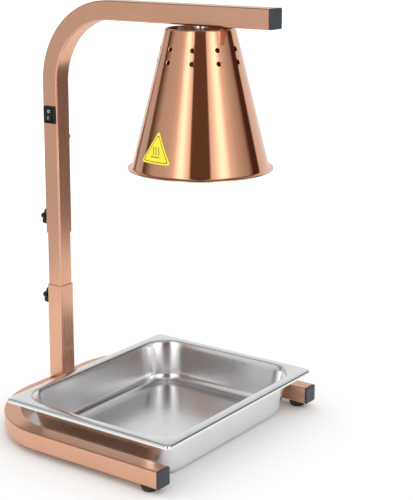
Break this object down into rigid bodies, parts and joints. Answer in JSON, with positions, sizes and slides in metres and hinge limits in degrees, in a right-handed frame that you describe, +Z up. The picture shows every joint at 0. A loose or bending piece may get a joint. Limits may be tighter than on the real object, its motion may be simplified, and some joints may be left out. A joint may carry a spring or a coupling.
{
  "type": "heat lamp warmer",
  "caption": "Countertop heat lamp warmer: U-shaped tube base, telescoping square post, bent arm with a conical shade over a half-size food pan.",
  "frame": {"origin": "on the table, under the middle of the whole object", "axes": "+Z up, +X towards the open side of the base and the end of the arm, +Y towards the side of the post with the cord gland (the switch is on the -Y side)"},
  "size_m": [0.3772, 0.3572, 0.5634],
  "materials": {
    "brushed_copper": "brushed, rose-copper plated",
    "polished_copper": "polished, copper plated",
    "cap_plastic": "matte",
    "black_plastic": "satin",
    "black_rubber": "matte",
    "zinc_steel": "bright zinc",
    "brass": "satin",
    "porcelain": "glazed",
    "stainless": "satin stainless",
    "aluminium": "satin",
    "bulb_glass": "clear neck and front, mirrored cone",
    "tungsten": "drawn wire",
    "heat_label": "printed film",
    "lead_black": "silicone sleeve",
    "lead_white": "silicone sleeve",
    "lead_green": "silicone sleeve"
  },
  "bodies": {
    "base": {"base_frame": "brushed_copper", "leg_cap_left": "cap_plastic", "leg_cap_right": "cap_plastic", "foot_front_left": "black_rubber", "foot_front_right": "black_rubber", "foot_rear_left": "black_rubber", "foot_rear_right": "black_rubber", "foot_screw_front_left": "zinc_steel", "foot_screw_front_right": "zinc_steel", "foot_screw_rear_left": "zinc_steel", "foot_screw_rear_right": "zinc_steel", "lower_post": "brushed_copper", "post_plug": "zinc_steel", "post_screw_left": "zinc_steel", "post_screw_right": "zinc_steel", "lower_weld_nut": "brushed_copper"},
    "inner": {"inner_post": "brushed_copper"},
    "upper": {"upper_post_arm": "brushed_copper", "arm_end_cap": "cap_plastic", "upper_weld_nut": "brushed_copper", "switch_housing": "black_plastic", "switch_terminal_line": "brass", "switch_terminal_load": "brass", "cord_gland": "black_plastic", "earth_stud": "zinc_steel", "shade": "polished_copper", "shade_strap": "zinc_steel", "strap_screw_rear": "zinc_steel", "strap_screw_front": "zinc_steel", "strap_nut_rear": "zinc_steel", "strap_nut_front": "zinc_steel", "stem_spacer": "zinc_steel", "threaded_stem": "zinc_steel", "stem_nut_upper": "zinc_steel", "stem_nut_lower": "zinc_steel", "heat_label": "heat_label", "lampholder_body": "porcelain", "lampholder_insert": "porcelain", "lampholder_shell": "brass", "shell_rivet": "brass", "lampholder_contact": "brass", "lead_line": "lead_black", "lead_switched": "lead_black", "lead_neutral": "lead_white", "lead_earth": "lead_green"},
    "lower_screw": {"lower_clamp_screw": "zinc_steel"},
    "lower_knob": {"lower_knob": "black_plastic"},
    "upper_screw": {"upper_clamp_screw": "zinc_steel"},
    "upper_knob": {"upper_knob": "black_plastic"},
    "rocker": {"switch_rocker": "black_plastic"},
    "bulb": {"bulb_glass": "bulb_glass", "bulb_cap": "aluminium", "bulb_insulator": "black_plastic", "bulb_tip_contact": "zinc_steel", "bulb_stem": "bulb_glass", "bulb_heat_shield": "aluminium", "bulb_support_left": "zinc_steel", "bulb_support_right": "zinc_steel", "filament": "tungsten"},
    "pan": {"food_pan": "stainless"}
  },
  "joints": [
    {"name": "inner_slide", "type": "slide", "parent": "base", "child": "inner", "axis": [0, 0, 1], "range_m": [-0.036, 0.036]},
    {"name": "upper_slide", "type": "slide", "parent": "inner", "child": "upper", "axis": [0, 0, 1], "range_m": [-0.036, 0.036]},
    {"name": "lower_screw_slide", "type": "slide", "parent": "base", "child": "lower_screw", "axis": [-1, 0, 0], "range_m": [0, 0.002]},
    {"name": "lower_knob_turn", "type": "hinge", "parent": "lower_screw", "child": "lower_knob", "pos_m": [-0.17705, 0, 0.146], "axis": [-1, 0, 0], "range_deg": [0, 720]},
    {"name": "upper_screw_slide", "type": "slide", "parent": "upper", "child": "upper_screw", "axis": [-1, 0, 0], "range_m": [0, 0.002]},
    {"name": "upper_knob_turn", "type": "hinge", "parent": "upper_screw", "child": "upper_knob", "pos_m": [-0.17705, 0, 0.2599], "axis": [-1, 0, 0], "range_deg": [0, 720]},
    {"name": "rocker_tilt", "type": "hinge", "parent": "upper", "child": "rocker", "pos_m": [-0.16435, -0.0126, 0.406], "axis": [1, 0, 0], "range_deg": [0, 18]},
    {"name": "bulb_removal", "type": "slide", "parent": "upper", "child": "bulb", "axis": [0, 0, -1], "range_m": [0, 0.18]},
    {"name": "pan_slide", "type": "slide", "parent": "base", "child": "pan", "axis": [1, 0, 0], "range_m": [0, 0.34]}
  ],
  "couplings": [
    {"joint": "lower_knob_turn", "follows": "lower_screw_slide", "rad_per_m": 6283.2},
    {"joint": "upper_knob_turn", "follows": "upper_screw_slide", "rad_per_m": 6283.2}
  ]
}
